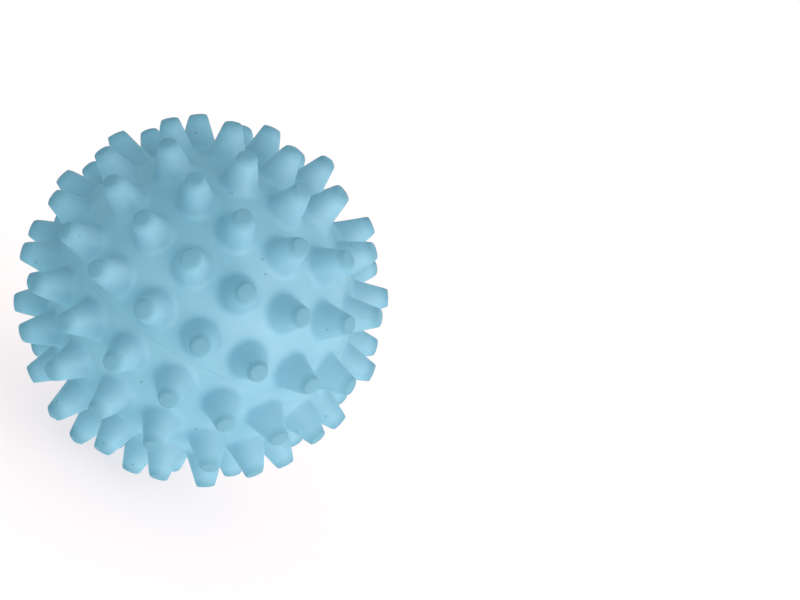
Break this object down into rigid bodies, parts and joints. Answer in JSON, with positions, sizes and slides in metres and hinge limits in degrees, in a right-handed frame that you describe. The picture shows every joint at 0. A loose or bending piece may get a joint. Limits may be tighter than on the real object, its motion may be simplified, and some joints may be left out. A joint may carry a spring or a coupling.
{
  "type": "dryer ball",
  "caption": "Hollow soft-plastic tumble-dryer ball, covered in blunt conical spikes that lift laundry and keep it apart.",
  "frame": {"origin": "the ball's centre, which is also the centre of its box", "axes": "+Z runs out through the upper pole spike, at right angles to the bonded joint between the halves; +X runs along the first spike of every ring; the vent plug is low on the -Y side, between the lower crown and collar spikes"},
  "size_m": [0.0694, 0.0686, 0.07],
  "materials": {
    "ball_plastic": "matte soft PVC, light blue, slightly translucent, with fine moulding marks",
    "vent_plug": "matte soft PVC, light blue"
  },
  "bodies": {
    "root": {"upper_shell": "ball_plastic", "lower_shell": "ball_plastic", "vent_plug": "vent_plug", "upper_belt_spikes": "ball_plastic", "upper_shoulder_spikes": "ball_plastic", "upper_collar_spikes": "ball_plastic", "upper_crown_spikes": "ball_plastic", "upper_pole_spike": "ball_plastic", "lower_belt_spikes": "ball_plastic", "lower_shoulder_spikes": "ball_plastic", "lower_collar_spikes": "ball_plastic", "lower_crown_spikes": "ball_plastic", "lower_pole_spike": "ball_plastic"}
  },
  "joints": []
}
